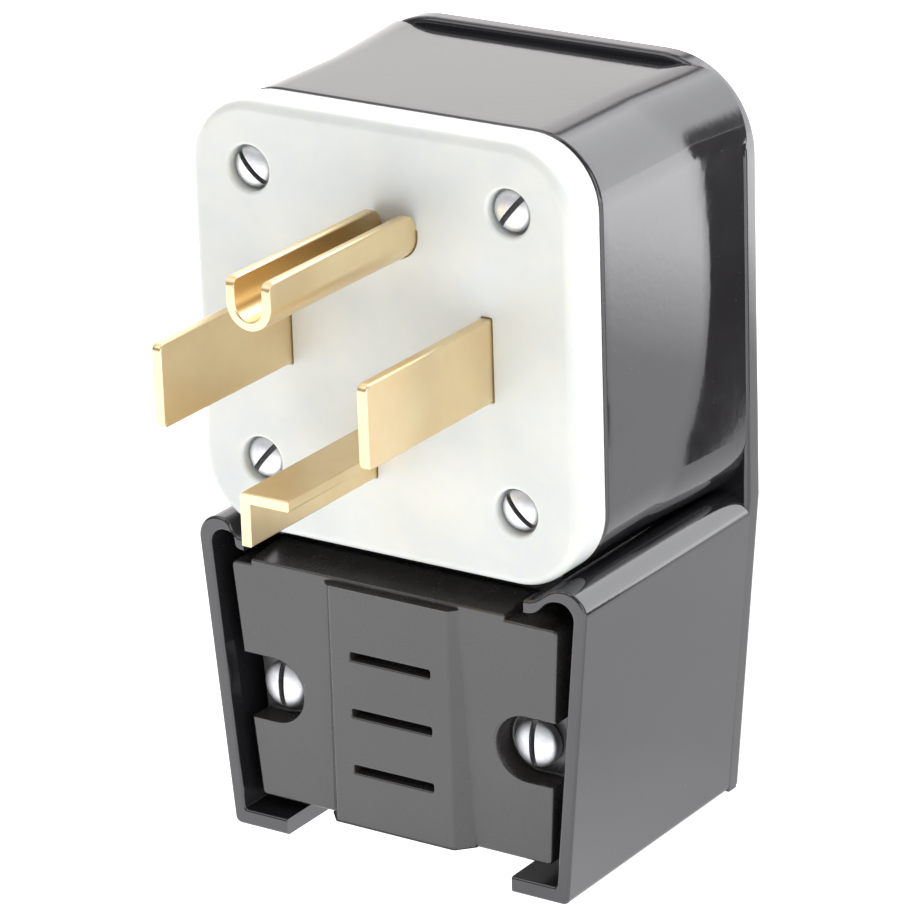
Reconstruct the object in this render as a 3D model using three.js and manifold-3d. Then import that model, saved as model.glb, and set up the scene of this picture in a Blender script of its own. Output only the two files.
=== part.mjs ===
// Four-blade right-angle power plug for an appliance or caravan supply cord.
// Millimetres, +Z up, +Y towards the flat back of the housing, blades pointing to -Y.
// Inside this file Y is 0 on the front of the white face plate and Z is 0 at its lower edge.
// The last lines move the whole plug so that its origin is at the bottom centre of its box.
import * as THREE from 'three';
import { mergeVertices } from 'three/addons/utils/BufferGeometryUtils.js';
import Module from 'manifold-3d';

const wasm = await Module();
wasm.setup();

// ---------------------------------------------------------------- driving dimensions
const GAP = 0.3;                 // working gap between neighbouring pieces
const EPS = 1;                   // how far a cutter runs past what it cuts

const FACE_W = 58;               // white face plate
const FACE_H = 59;
const FACE_R = 9.5;
const FACE_T = 7;
const FACE_EDGE = 1.2;           // rounding of its front edge
const RIM_DEPTH = 5;             // rim behind the plate that locates it in the housing
const RIM_WALL = 2;

const BOX_FRONT = FACE_T + GAP;  // upper box of the housing
const BOX_WALL = 2.4;
const FLANGE_FRONT = 40;         // back plate of the housing
const BACK = 43.8;
const FLANGE_HALF = 30.5;
const FLANGE_TOP = 60.3;
const FLANGE_R = 13;

const LOW_FRONT = -0.6;          // lower box, which holds the cord clamp
const LOW_BOTTOM = -43.4;
const LOW_FOOT_HALF = 26.6;
const LOW_WALL = 1.95;
const LOW_FLOOR = 2.3;
const SHOULDER_Z = 0.95;         // top of its two outer shoulders
const SHOULDER_R = 3.3;
const LIP_X = 20.9;              // inner end of the right top lip
const LIP_LEFT = 23;             // inner end of the left one
const LIP_TOP = -1.46;
const LIP_T = 1.85;
const LIP_SWAY = 3;              // how softly the S between lip and shoulder begins and ends
const INNER_ROUND = 0.6;         // share of the wall that the inner shoulder gives up in radius
const MOUTH_HALF = 17.9;         // cord exit in the bottom wall
const MOUTH_BACK = 37;
const PASSAGE_HALF = 14;         // way for the cord cores from the lower box to the upper one
const PASSAGE_FRONT = 17;

const SCREW_X = 19.8;            // four face screws
const SCREW_Z = [10.1, 50.1];
const FACE_SCREW_R = 1.75;
const FACE_HEAD_R = 2.75;
const FACE_HEAD_T = 1.8;
const SLOT_RISING = 0.8;         // how the slots of the face screws are left standing
const SLOT_FALLING = -0.87;
const SLOT_SHARE = 0.32;         // slot width as a share of the head's radius
const FACE_SCREW_END = 26;
const FACE_SINK = 2.3;           // depth of the head recess
const FACE_SINK_GAP = 0.8;       // room round a head in its recess
const BOSS_R = 4.4;
const BOSS_FRONT = 13;
const INSERT_WALL = 0.75;
const FACE_INSERT_END = 25;

const HOT_X = 15.5;              // blades
const HOT_OFFSET = 0.6;          // the blade group sits a little to the right of the middle
const BLADE_T = 1.5;
const HOT_LOW = 24.5;
const HOT_HIGH = 35.7;
const BLADE_TIP = -28;
const NEUTRAL_X = -3;
const NEUTRAL_LOW = 11;
const NEUTRAL_HIGH = 18.3;
const NEUTRAL_WIDTH = 7.4;
const GROUND_X = 2.6;
const GROUND_Z = 44.9;
const GROUND_R = 3.3;
const GROUND_T = 1.3;
const GROUND_HIGH = 48.2;
const GROUND_TIP = -32;
const SHOULDER_GROW = 1.3;       // collar on each blade, trapped behind the face plate
const SHOULDER_T = 1.7;
const RETAINER_T = 3;

const TAB_FRONT = 22;            // terminals at the inner ends of the blades
const TAB_T = 1.6;
const TAB_SIZE = 10.5;
const TERMINAL_SCREW_R = 2.3;
const TERMINAL_HEAD_R = 4.1;
const TERMINAL_HEAD_T = 2.6;
const TERMINAL_TIP = 4;
const PLATE_T = 1.6;
const TIP_CUT = 1.2;             // size of the corners taken off a blade's tip
const PLATE_INSET = 0.6;         // how far the pressure plate stays inside its tab
const TAB_LAP = 1;               // how far a tab or its screw keeps from its blade's own metal

const CLAMP_TOP = -5.1;          // cord clamp
const CLAMP_BOTTOM = -39.1;
const CLAMP_HALF_TOP = 25.6;
const CLAMP_HALF_BOTTOM = 23;
const CLAMP_FRONT = 1.2;         // front of the clamp at its foot
const CLAMP_LEAN = 1.2;          // how much further forward its top is
const CLAMP_WING_BACK = 12;
const CLAMP_BACK = 17;
const CLAMP_CORE_HALF = 14.5;
const RIDGE = [-22.4, 17.5];     // ridge on the clamp that closes the gap under the face plate
const RIDGE_FRONT_Z = -4.4;
const RIDGE_TOP = -3.65;
const RIDGE_LEVEL = 6;           // depth where its slope ends
const PANEL_FRONT = -1;
const PANEL_HALF = 9.3;
const PANEL_BEVEL = 2;
const SLOT_Z = [-14.7, -22.8, -30.9];
const SLOT_HALF = 6.3;
const SLOT_H = 1.1;
const SLOT_DEPTH = 4;
const CORD_R = 13;               // radius of the cord channel in clamp and saddle
const CHANNEL_L = 60;
const CLAMP_CHANNEL = 6.5;       // how deep the channel is in the clamp
const SADDLE_CHANNEL = 5;        // and in the saddle ribs
const CLAMP_SCREW_X = 19.85;
const CLAMP_SCREW_Z = -23.1;
const CLAMP_SCREW_R = 2.05;
const CLAMP_HEAD_R = 3.3;
const CLAMP_HEAD_T = 2.3;
const CLAMP_SINK_R = 4.6;
const CLAMP_SINK = 3.4;
const CLAMP_SCREW_END = 33;
const CLAMP_BOSS_R = 5.3;
const CLAMP_BOSS_FRONT = 22;
const CLAMP_INSERT_END = 32;

const SADDLE_FRONT = 31;         // fixed ribs that face the clamp across the cord
const SADDLE_HALF = 14.5;
const SADDLE_RIB = 2.4;
const SADDLE_RIB_Z = [-32, -23.1, -14.2];

const ROUND = 20;                // sides of a round piece

// ---------------------------------------------------------------- solids and cuts
function solid(geometry) {
  const bare = geometry.clone();
  bare.deleteAttribute('normal');
  bare.deleteAttribute('uv');
  const merged = mergeVertices(bare, 1e-4);
  return new wasm.Manifold(new wasm.Mesh({
    numProp: 3,
    vertProperties: new Float32Array(merged.attributes.position.array),
    triVerts: new Uint32Array(merged.index.array),
  }));
}

function geometryOf(body) {
  const mesh = body.getMesh();
  const geometry = new THREE.BufferGeometry();
  geometry.setAttribute('position', new THREE.BufferAttribute(new Float32Array(mesh.vertProperties), 3));
  geometry.setIndex(new THREE.BufferAttribute(new Uint32Array(mesh.triVerts), 1));
  geometry.computeVertexNormals();
  return geometry;
}

const join = (bodies) => bodies.reduce((all, next) => all.add(next));
const cut = (body, cutters) => cutters.reduce((rest, cutter) => rest.subtract(cutter), body);

// an outline drawn in X and Z, carried along Y from `front` to `back`
function slab(shape, front, back, options = {}) {
  const geometry = new THREE.ExtrudeGeometry(shape, {
    depth: back - front, bevelEnabled: false, curveSegments: 4, ...options,
  });
  geometry.rotateX(Math.PI / 2);
  geometry.translate(0, back, 0);
  return solid(geometry);
}

function block([x0, x1], [y0, y1], [z0, z1]) {
  const geometry = new THREE.BoxGeometry(x1 - x0, y1 - y0, z1 - z0);
  geometry.translate((x0 + x1) / 2, (y0 + y1) / 2, (z0 + z1) / 2);
  return solid(geometry);
}

function rod(radius, x, z, front, back, sides = ROUND) {
  const geometry = new THREE.CylinderGeometry(radius, radius, back - front, sides);
  geometry.translate(x, (front + back) / 2, z);
  return solid(geometry);
}

// ---------------------------------------------------------------- outlines
function roundedRect(width, height, radius, centreZ) {
  const x = width / 2 - radius;
  const low = centreZ - height / 2 + radius;
  const high = centreZ + height / 2 - radius;
  const shape = new THREE.Shape();
  shape.absarc(x, low, radius, -Math.PI / 2, 0, false);
  shape.absarc(x, high, radius, 0, Math.PI / 2, false);
  shape.absarc(-x, high, radius, Math.PI / 2, Math.PI, false);
  shape.absarc(-x, low, radius, Math.PI, 1.5 * Math.PI, false);
  shape.closePath();
  return shape;
}

function rect(x0, x1, z0, z1) {
  const shape = new THREE.Shape();
  shape.moveTo(x0, z0);
  shape.lineTo(x1, z0);
  shape.lineTo(x1, z1);
  shape.lineTo(x0, z1);
  shape.closePath();
  return shape;
}

// half width of the lower box at height z: its sides draw in towards the foot
function lowHalf(z) {
  const share = THREE.MathUtils.clamp(z / LOW_BOTTOM, 0, 1);
  return THREE.MathUtils.lerp(FLANGE_HALF, LOW_FOOT_HALF, share);
}

// section of the lower box: level top between the lips, an S-shaped rise to each shoulder,
// a round shoulder and a side that draws in. `wall` moves it inwards for the inside.
function lowOutline(wall, floor, ceiling) {
  const top = SHOULDER_Z - ceiling;
  const flat = LIP_TOP - ceiling;
  const bottom = LOW_BOTTOM + floor;
  const radius = SHOULDER_R - wall * INNER_ROUND;
  const side = (z) => lowHalf(z) - wall;
  const shoulder = side(top - radius) - radius;
  const shape = new THREE.Shape();
  shape.moveTo(-side(bottom), bottom);
  shape.lineTo(side(bottom), bottom);
  shape.lineTo(side(top - radius), top - radius);
  shape.absarc(shoulder, top - radius, radius, 0, Math.PI / 2, false);
  shape.bezierCurveTo(shoulder - LIP_SWAY, top, LIP_X + LIP_SWAY, flat, LIP_X, flat);
  shape.lineTo(-LIP_LEFT, flat);
  shape.bezierCurveTo(-LIP_LEFT - LIP_SWAY, flat, -shoulder + LIP_SWAY, top, -shoulder, top);
  shape.absarc(-shoulder, top - radius, radius, Math.PI / 2, Math.PI, false);
  shape.closePath();
  return shape;
}

function flangeOutline() {
  const x = FLANGE_HALF - FLANGE_R;
  const z = FLANGE_TOP - FLANGE_R;
  const shape = new THREE.Shape();
  shape.moveTo(-LOW_FOOT_HALF, LOW_BOTTOM);
  shape.lineTo(LOW_FOOT_HALF, LOW_BOTTOM);
  shape.lineTo(FLANGE_HALF, 0);
  shape.absarc(x, z, FLANGE_R, 0, Math.PI / 2, false);
  shape.absarc(-x, z, FLANGE_R, Math.PI / 2, Math.PI, false);
  shape.lineTo(-FLANGE_HALF, 0);
  shape.closePath();
  return shape;
}

// section of the U-shaped ground blade, grown by `extra` all round
function groundOutline(extra) {
  const outer = GROUND_R + extra;
  const inner = GROUND_R - GROUND_T - extra;
  const high = GROUND_HIGH + extra;
  const shape = new THREE.Shape();
  shape.absarc(GROUND_X, GROUND_Z, outer, Math.PI, 2 * Math.PI, false);
  shape.lineTo(GROUND_X + outer, high);
  shape.lineTo(GROUND_X + inner, high);
  shape.absarc(GROUND_X, GROUND_Z, inner, 0, -Math.PI, true);
  shape.lineTo(GROUND_X - inner, high);
  shape.lineTo(GROUND_X - outer, high);
  shape.closePath();
  return shape;
}

// section of the L-shaped neutral blade: a foot up the left side and a ledge along the top
function neutralOutline(extra) {
  const x0 = NEUTRAL_X - extra;
  const x1 = NEUTRAL_X + BLADE_T + extra;
  const x2 = NEUTRAL_X + NEUTRAL_WIDTH + extra;
  const shape = new THREE.Shape();
  shape.moveTo(x0, NEUTRAL_LOW - extra);
  shape.lineTo(x1, NEUTRAL_LOW - extra);
  shape.lineTo(x1, NEUTRAL_HIGH - BLADE_T - extra);
  shape.lineTo(x2, NEUTRAL_HIGH - BLADE_T - extra);
  shape.lineTo(x2, NEUTRAL_HIGH + extra);
  shape.lineTo(x0, NEUTRAL_HIGH + extra);
  shape.closePath();
  return shape;
}

function hotOutline(side, extra) {
  const x = side * HOT_X + HOT_OFFSET;
  return rect(x - BLADE_T / 2 - extra, x + BLADE_T / 2 + extra, HOT_LOW - extra, HOT_HIGH + extra);
}

const bladeOutlines = (extra) => [
  hotOutline(-1, extra), hotOutline(1, extra), neutralOutline(extra), groundOutline(extra),
];

const screwPlaces = [];
for (const z of SCREW_Z) {
  for (const side of [-1, 1]) {
    const row = z > FACE_H / 2 ? 'top' : 'bottom';
    screwPlaces.push({ x: side * SCREW_X, z, name: `${row}_${side < 0 ? 'left' : 'right'}` });
  }
}
const clampPlaces = [-1, 1].map((side) => ({
  x: side * CLAMP_SCREW_X, z: CLAMP_SCREW_Z, name: side < 0 ? 'left' : 'right',
}));

// ---------------------------------------------------------------- housing
// one moulding: upper box, lower box and back plate, with bosses for the screws and saddle ribs
function makeHousing() {
  const centreZ = FACE_H / 2;
  const boxInside = roundedRect(FACE_W - 2 * BOX_WALL, FACE_H - 2 * BOX_WALL, FACE_R - BOX_WALL, centreZ);
  const webTop = LIP_TOP - LIP_T;
  const shell = cut(join([
    slab(flangeOutline(), FLANGE_FRONT, BACK),
    slab(roundedRect(FACE_W, FACE_H, FACE_R, centreZ), BOX_FRONT, FLANGE_FRONT + EPS),
    slab(lowOutline(0, 0, 0), LOW_FRONT, FLANGE_FRONT + EPS),
    block([-LIP_LEFT - EPS, LIP_X + EPS], [BOX_FRONT, FLANGE_FRONT + EPS], [webTop, SHOULDER_Z]),
  ]), [
    slab(boxInside, BOX_FRONT - EPS, FLANGE_FRONT),
    slab(lowOutline(LOW_WALL, LOW_FLOOR, LIP_T), LOW_FRONT - EPS, FLANGE_FRONT),
    block([-LIP_LEFT, LIP_X], [LOW_FRONT - EPS, BOX_FRONT], [webTop - EPS, SHOULDER_Z]),
    block(
      [-MOUTH_HALF, MOUTH_HALF], [LOW_FRONT - EPS, MOUTH_BACK],
      [LOW_BOTTOM - EPS, LOW_BOTTOM + LOW_FLOOR + EPS],
    ),
    block([-PASSAGE_HALF, PASSAGE_HALF], [PASSAGE_FRONT, MOUTH_BACK], [webTop - EPS, BOX_WALL + EPS]),
  ]);

  const saddle = cut(join(SADDLE_RIB_Z.map((z) => block(
    [-SADDLE_HALF, SADDLE_HALF], [SADDLE_FRONT, FLANGE_FRONT + EPS], [z - SADDLE_RIB / 2, z + SADDLE_RIB / 2],
  ))), [cordChannel(SADDLE_FRONT - CORD_R + SADDLE_CHANNEL)]);

  const bosses = [
    ...screwPlaces.map(({ x, z }) => rod(BOSS_R, x, z, BOSS_FRONT, FLANGE_FRONT + EPS)),
    ...clampPlaces.map(({ x, z }) => rod(CLAMP_BOSS_R, x, z, CLAMP_BOSS_FRONT, FLANGE_FRONT + EPS)),
  ];
  const bores = [
    ...screwPlaces.map(({ x, z }) => rod(faceInsertR + GAP, x, z, BOSS_FRONT - EPS, FLANGE_FRONT - EPS)),
    ...clampPlaces.map(({ x, z }) => rod(clampInsertR + GAP, x, z, CLAMP_BOSS_FRONT - EPS, FLANGE_FRONT + EPS)),
  ];
  return cut(join([shell, saddle, ...bosses]), bores);
}

// round channel for the cord, running up the plug
function cordChannel(centreY) {
  const geometry = new THREE.CylinderGeometry(CORD_R, CORD_R, CHANNEL_L, 2 * ROUND);
  geometry.rotateX(Math.PI / 2);
  geometry.translate(0, centreY, CLAMP_SCREW_Z);
  return solid(geometry);
}

// ---------------------------------------------------------------- face plate and blades
function makeFacePlate() {
  const centreZ = FACE_H / 2;
  const plate = slab(roundedRect(FACE_W, FACE_H, FACE_R, centreZ), FACE_EDGE, FACE_T + FACE_EDGE, {
    bevelEnabled: true, bevelThickness: FACE_EDGE, bevelSize: FACE_EDGE, bevelOffset: -FACE_EDGE, bevelSegments: 2,
  }).intersect(block([-FACE_W, FACE_W], [-EPS, FACE_T], [-FACE_H, 2 * FACE_H]));
  const rimInset = 2 * (BOX_WALL + GAP);
  const rim = slab(
    roundedRect(FACE_W - rimInset, FACE_H - rimInset, FACE_R - BOX_WALL - GAP, centreZ),
    FACE_T - EPS, FACE_T + RIM_DEPTH,
  );
  const pocketInset = rimInset + 2 * RIM_WALL;
  const pocket = slab(
    roundedRect(FACE_W - pocketInset, FACE_H - pocketInset, FACE_R - BOX_WALL - GAP - RIM_WALL, centreZ),
    FACE_T, FACE_T + RIM_DEPTH + EPS,
  );
  return cut(plate.add(rim), [
    pocket,
    ...bladeOutlines(GAP).map((outline) => slab(outline, -EPS, FACE_T + EPS)),
    ...screwPlaces.map(({ x, z }) => rod(FACE_SCREW_R + GAP, x, z, -EPS, FACE_T + EPS)),
    ...screwPlaces.map(({ x, z }) => rod(FACE_HEAD_R + FACE_SINK_GAP, x, z, -EPS, FACE_SINK)),
  ]);
}

// insulating plate behind the face: it traps the collars of the blades
function makeRetainer() {
  const inset = 2 * (BOX_WALL + GAP + RIM_WALL + GAP);
  const front = FACE_T + GAP + SHOULDER_T + GAP;
  const corner = FACE_R - BOX_WALL - RIM_WALL - 2 * GAP;
  return cut(
    slab(roundedRect(FACE_W - inset, FACE_H - inset, corner, FACE_H / 2), front, front + RETAINER_T),
    [
      ...bladeOutlines(GAP).map((outline) => slab(outline, front - EPS, front + RETAINER_T + EPS)),
      ...screwPlaces.map(({ x, z }) => rod(FACE_SCREW_R + GAP, x, z, front - EPS, front + RETAINER_T + EPS)),
    ],
  );
}

// A blade: the contact outside, a collar behind the face plate and a terminal tab with a
// screw hole at its inner end. `tip` is cut back at its free corners.
function makeBlade(outline, collar, tab, tip, tipCutters) {
  const hole = rod(TERMINAL_SCREW_R + GAP, tab.x, tab.z, TAB_FRONT - EPS, TAB_FRONT + TAB_T + EPS);
  const half = TAB_SIZE / 2;
  return cut(join([
    slab(outline, tip, TAB_FRONT + TAB_T),
    slab(collar, FACE_T + GAP, FACE_T + GAP + SHOULDER_T),
    block([tab.x - half, tab.x + half], [TAB_FRONT, TAB_FRONT + TAB_T], [tab.z - half, tab.z + half]),
  ]), [hole, ...tipCutters]);
}

// prism along X between two sides, from the (y, z) corners of its section
function alongX(corners, left, right) {
  const section = new THREE.Shape();
  section.setFromPoints(corners.map(([y, z]) => new THREE.Vector2(y, z)));
  const geometry = new THREE.ExtrudeGeometry(section, { depth: right - left, bevelEnabled: false });
  geometry.rotateX(Math.PI / 2);
  geometry.rotateZ(Math.PI / 2);
  geometry.translate(left, 0, 0);
  return solid(geometry);
}

// wedge that takes the corner off a blade's tip at height z, above it (up = 1) or below it
function tipCorner(tip, z, up) {
  const size = TIP_CUT;
  return alongX([
    [tip - EPS, z - up * (size + EPS)], [tip + size + EPS, z + up * EPS], [tip - EPS, z + up * EPS],
  ], -FACE_W, FACE_W);
}

// ---------------------------------------------------------------- fasteners
// round-head screw along Y: rounded slotted head, plain shank and a short point
function makeScrew({ x, z }, { front, headR, headT, shankR, end, slotAngle, turned = false }) {
  const dome = new THREE.CatmullRomCurve3([
    new THREE.Vector3(0, 0, 0), new THREE.Vector3(headR * 0.6, headT * 0.12, 0),
    new THREE.Vector3(headR * 0.93, headT * 0.45, 0), new THREE.Vector3(headR, headT * 0.8, 0),
  ]).getPoints(3).map((p) => new THREE.Vector2(p.x, p.y));
  const length = Math.abs(end - front);
  const profile = [
    ...dome,
    new THREE.Vector2(headR, headT),
    new THREE.Vector2(shankR, headT),
    new THREE.Vector2(shankR, length - shankR * 0.5),
    new THREE.Vector2(shankR * 0.5, length),
    new THREE.Vector2(0, length),
  ];
  profile[0].x = 0;
  const body = new THREE.LatheGeometry(profile, ROUND);
  const slot = new THREE.BoxGeometry(3 * headR, headT, headR * SLOT_SHARE);
  slot.rotateY(slotAngle);
  const cutBody = cut(keepOutward(body), [solid(slot)]);
  const geometry = geometryOf(cutBody);
  if (turned) geometry.rotateX(Math.PI);
  geometry.translate(x, front, z);
  return solid(geometry);
}

// a lathe whose profile runs the other way comes out with its faces inwards, so it is turned
function keepOutward(geometry) {
  const body = solid(geometry);
  if (body.volume() > 0) return body;
  const index = geometry.index.array;
  for (let i = 0; i < index.length; i += 3) [index[i], index[i + 1]] = [index[i + 1], index[i]];
  return solid(geometry);
}

// threaded brass sleeve pressed into a boss
function makeInsert({ x, z }, outer, inner, front, back) {
  return cut(rod(outer, x, z, front, back), [rod(inner, x, z, front - EPS, back + EPS)]);
}
const faceInsertInner = FACE_SCREW_R + GAP;
const faceInsertR = faceInsertInner + INSERT_WALL;
const clampInsertInner = CLAMP_SCREW_R + GAP;
const clampInsertR = clampInsertInner + INSERT_WALL;

// pressure plate of a terminal: a square washer whose hole lets its screw turn
function makePressurePlate({ x, z }) {
  const half = TAB_SIZE / 2 - PLATE_INSET;
  const front = TAB_FRONT + TAB_T + GAP;
  return cut(block([x - half, x + half], [front, front + PLATE_T], [z - half, z + half]), [
    rod(TERMINAL_SCREW_R + GAP, x, z, front - EPS, front + PLATE_T + EPS),
  ]);
}

// ---------------------------------------------------------------- cord clamp
function makeClamp() {
  const outline = new THREE.Shape();
  outline.moveTo(-CLAMP_HALF_BOTTOM, CLAMP_BOTTOM);
  outline.lineTo(CLAMP_HALF_BOTTOM, CLAMP_BOTTOM);
  outline.lineTo(CLAMP_HALF_TOP, CLAMP_TOP);
  outline.lineTo(-CLAMP_HALF_TOP, CLAMP_TOP);
  outline.closePath();
  const top = CLAMP_FRONT - CLAMP_LEAN;
  const wings = cut(slab(outline, top, CLAMP_WING_BACK), [alongX([
    [top - EPS, CLAMP_BOTTOM], [CLAMP_FRONT, CLAMP_BOTTOM], [top, CLAMP_TOP], [top - EPS, CLAMP_TOP],
  ], -FACE_W, FACE_W)]);
  const core = block([-CLAMP_CORE_HALF, CLAMP_CORE_HALF], [CLAMP_FRONT, CLAMP_BACK], [CLAMP_BOTTOM, CLAMP_TOP]);

  // ridge whose top rises towards the back, under the face plate
  const ridge = alongX([
    [top + GAP, CLAMP_TOP - EPS], [CLAMP_WING_BACK, CLAMP_TOP - EPS], [CLAMP_WING_BACK, RIDGE_TOP],
    [RIDGE_LEVEL, RIDGE_TOP], [top, RIDGE_FRONT_Z], [top, CLAMP_TOP],
  ], ...RIDGE);

  // raised middle panel with sloping sides
  const section = new THREE.Shape();
  section.moveTo(-PANEL_HALF - PANEL_BEVEL, -CLAMP_FRONT - EPS);
  section.lineTo(PANEL_HALF + PANEL_BEVEL, -CLAMP_FRONT - EPS);
  section.lineTo(PANEL_HALF + PANEL_BEVEL, -CLAMP_FRONT);
  section.lineTo(PANEL_HALF, -PANEL_FRONT);
  section.lineTo(-PANEL_HALF, -PANEL_FRONT);
  section.lineTo(-PANEL_HALF - PANEL_BEVEL, -CLAMP_FRONT);
  section.closePath();
  const raised = new THREE.ExtrudeGeometry(section, { depth: CLAMP_TOP - CLAMP_BOTTOM, bevelEnabled: false });
  raised.rotateX(Math.PI);
  raised.translate(0, 0, CLAMP_TOP);

  return cut(join([wings, core, solid(raised), ridge]), [
    cordChannel(CLAMP_BACK + CORD_R - CLAMP_CHANNEL),
    ...SLOT_Z.map((z) => block(
      [-SLOT_HALF, SLOT_HALF], [PANEL_FRONT - EPS, PANEL_FRONT + SLOT_DEPTH], [z - SLOT_H / 2, z + SLOT_H / 2],
    )),
    ...clampPlaces.flatMap(({ x, z }) => {
      const floor = CLAMP_FRONT + CLAMP_SINK;
      const open = x < 0 ? [-CLAMP_HALF_TOP - EPS, x] : [x, CLAMP_HALF_TOP + EPS];
      return [
        rod(CLAMP_SINK_R, x, z, CLAMP_FRONT - EPS, floor),
        block(open, [CLAMP_FRONT - EPS, floor], [z - CLAMP_SINK_R, z + CLAMP_SINK_R]),
        rod(CLAMP_SCREW_R + GAP, x, z, CLAMP_FRONT, CLAMP_WING_BACK + EPS),
      ];
    }),
  ]);
}

// ---------------------------------------------------------------- the plug
const finish = {
  black: { color: 0x17171a, roughness: 0.28, metalness: 0 },
  nylon: { color: 0xf0f0ea, roughness: 0.4, metalness: 0 },
  brass: { color: 0xd8bd7c, roughness: 0.3, metalness: 1 },
  zinc: { color: 0xc9ccd0, roughness: 0.3, metalness: 1 },
  fibre: { color: 0x6b4a2e, roughness: 0.8, metalness: 0 },
};

const plug = new THREE.Group();
plug.position.set(0, -(BACK + GROUND_TIP) / 2, -LOW_BOTTOM);

function piece(name, body, look) {
  const mesh = new THREE.Mesh(geometryOf(body), new THREE.MeshStandardMaterial(finish[look]));
  mesh.name = name;
  plug.add(mesh);
}

piece('housing', makeHousing(), 'black');
piece('face_plate', makeFacePlate(), 'nylon');
piece('blade_retainer', makeRetainer(), 'fibre');

const tabs = {
  hot_left: { x: -HOT_X + HOT_OFFSET - TAB_SIZE / 2 + BLADE_T / 2, z: (HOT_LOW + HOT_HIGH) / 2 },
  hot_right: { x: HOT_X + HOT_OFFSET + TAB_SIZE / 2 - BLADE_T / 2, z: (HOT_LOW + HOT_HIGH) / 2 },
  neutral: { x: NEUTRAL_X + BLADE_T + TAB_SIZE / 2 - TAB_LAP, z: NEUTRAL_LOW },
  ground: { x: GROUND_X, z: GROUND_HIGH + TERMINAL_SCREW_R + TAB_LAP / 2 },
};
const flatTip = (low, high) => [tipCorner(BLADE_TIP, high, 1), tipCorner(BLADE_TIP, low, -1)];
piece('hot_blade_left', makeBlade(
  hotOutline(-1, 0), hotOutline(-1, SHOULDER_GROW), tabs.hot_left, BLADE_TIP, flatTip(HOT_LOW, HOT_HIGH),
), 'brass');
piece('hot_blade_right', makeBlade(
  hotOutline(1, 0), hotOutline(1, SHOULDER_GROW), tabs.hot_right, BLADE_TIP, flatTip(HOT_LOW, HOT_HIGH),
), 'brass');
piece('neutral_blade', makeBlade(
  neutralOutline(0), neutralOutline(SHOULDER_GROW), tabs.neutral, BLADE_TIP, [],
), 'brass');
piece('ground_blade', makeBlade(
  groundOutline(0), groundOutline(SHOULDER_GROW / 2), tabs.ground, GROUND_TIP,
  [tipCorner(GROUND_TIP, GROUND_HIGH, 1)],
), 'brass');

for (const place of screwPlaces) {
  const rising = place.x * (place.z - FACE_H / 2) > 0;
  piece(`face_screw_${place.name}`, makeScrew(place, {
    front: FACE_SINK - GAP - FACE_HEAD_T, headR: FACE_HEAD_R, headT: FACE_HEAD_T, shankR: FACE_SCREW_R,
    end: FACE_SCREW_END, slotAngle: rising ? SLOT_FALLING : SLOT_RISING,
  }), 'zinc');
  piece(`face_insert_${place.name}`, makeInsert(
    place, faceInsertR, faceInsertInner, BOSS_FRONT + GAP, FACE_INSERT_END,
  ), 'brass');
}

piece('cord_clamp', makeClamp(), 'black');
for (const place of clampPlaces) {
  const headT = CLAMP_HEAD_T;
  piece(`clamp_screw_${place.name}`, makeScrew(place, {
    front: CLAMP_FRONT + CLAMP_SINK - GAP - headT, headR: CLAMP_HEAD_R, headT, shankR: CLAMP_SCREW_R,
    end: CLAMP_SCREW_END, slotAngle: Math.PI / 2,
  }), 'zinc');
  piece(`clamp_insert_${place.name}`, makeInsert(
    place, clampInsertR, clampInsertInner, CLAMP_BOSS_FRONT + GAP, CLAMP_INSERT_END,
  ), 'brass');
}

for (const [name, place] of Object.entries(tabs)) {
  const headFace = TAB_FRONT + TAB_T + 2 * GAP + PLATE_T;
  piece(`terminal_plate_${name}`, makePressurePlate(place), 'zinc');
  piece(`terminal_screw_${name}`, makeScrew(place, {
    front: headFace + TERMINAL_HEAD_T, headR: TERMINAL_HEAD_R, headT: TERMINAL_HEAD_T,
    shankR: TERMINAL_SCREW_R, end: TAB_FRONT - TERMINAL_TIP, slotAngle: 0.4, turned: true,
  }), 'zinc');
}

export default plug;
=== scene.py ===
import math

import bmesh
import bpy
from mathutils import Matrix, Vector


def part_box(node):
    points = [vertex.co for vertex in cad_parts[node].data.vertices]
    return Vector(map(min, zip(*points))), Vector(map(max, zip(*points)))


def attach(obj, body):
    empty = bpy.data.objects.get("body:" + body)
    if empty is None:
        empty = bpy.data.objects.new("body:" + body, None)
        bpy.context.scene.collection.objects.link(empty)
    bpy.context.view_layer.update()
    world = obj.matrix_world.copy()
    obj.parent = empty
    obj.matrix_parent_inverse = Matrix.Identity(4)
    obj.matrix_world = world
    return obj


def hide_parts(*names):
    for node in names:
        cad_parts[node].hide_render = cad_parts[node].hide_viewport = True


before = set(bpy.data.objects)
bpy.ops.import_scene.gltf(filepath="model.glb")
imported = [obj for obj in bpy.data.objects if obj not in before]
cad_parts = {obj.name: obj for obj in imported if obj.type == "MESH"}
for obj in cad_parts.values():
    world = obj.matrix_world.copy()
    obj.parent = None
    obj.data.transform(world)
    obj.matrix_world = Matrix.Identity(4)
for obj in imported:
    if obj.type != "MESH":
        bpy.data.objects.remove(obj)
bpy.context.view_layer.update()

MM = 0.001
face_low, face_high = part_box("face_plate")
DATUM = Vector((0, face_low.y, face_low.z))


def extent(node):
    """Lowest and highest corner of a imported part, in millimetres in the plug's own frame."""
    low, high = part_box(node)
    return (low - DATUM) / MM, (high - DATUM) / MM


# ---------------------------------------------------------------- sizes, in millimetres
housing_low, housing_high = extent("housing")
clamp_low, clamp_high = extent("cord_clamp")

GAP = 0.3                                # working gap between neighbouring pieces
FACE_HALF = face_high.x / MM
FACE_H = 59.0
FACE_R = 9.5
FACE_T = 7.0
FACE_EDGE = 1.3
RIM_DEPTH = 5.0
RIM_WALL = 2.0

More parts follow.
